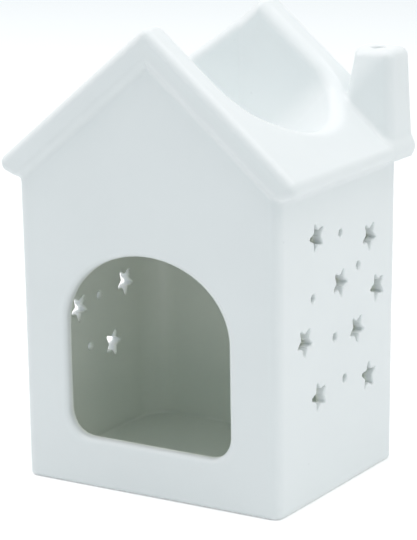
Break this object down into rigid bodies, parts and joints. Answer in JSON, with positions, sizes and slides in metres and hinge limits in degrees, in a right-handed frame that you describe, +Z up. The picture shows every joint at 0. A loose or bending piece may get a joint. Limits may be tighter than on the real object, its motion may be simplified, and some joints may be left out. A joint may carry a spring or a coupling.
{
  "type": "house-shaped oil burner",
  "caption": "White glazed ceramic house with an arched doorway for a tealight, pierced stars in its side walls, an oil dish sunk into the gabled roof and a small chimney.",
  "frame": {"origin": "middle of the underside, on the surface that the burner stands on", "axes": "+Z up to the roof ridge, +Y from the doorway to the closed back wall, along the ridge, +X to the right seen from the front, towards the chimney"},
  "size_m": [0.1073, 0.0808, 0.1491],
  "materials": {
    "white_glaze": "smooth semi-gloss white glaze with a faint cool tint",
    "inside_glaze": "smooth pale grey-green glaze, as the inside of the house shows"
  },
  "bodies": {
    "root": {"wall_shell": "white_glaze", "floor_plate": "inside_glaze", "roof_dish": "white_glaze", "chimney": "white_glaze"}
  },
  "joints": []
}
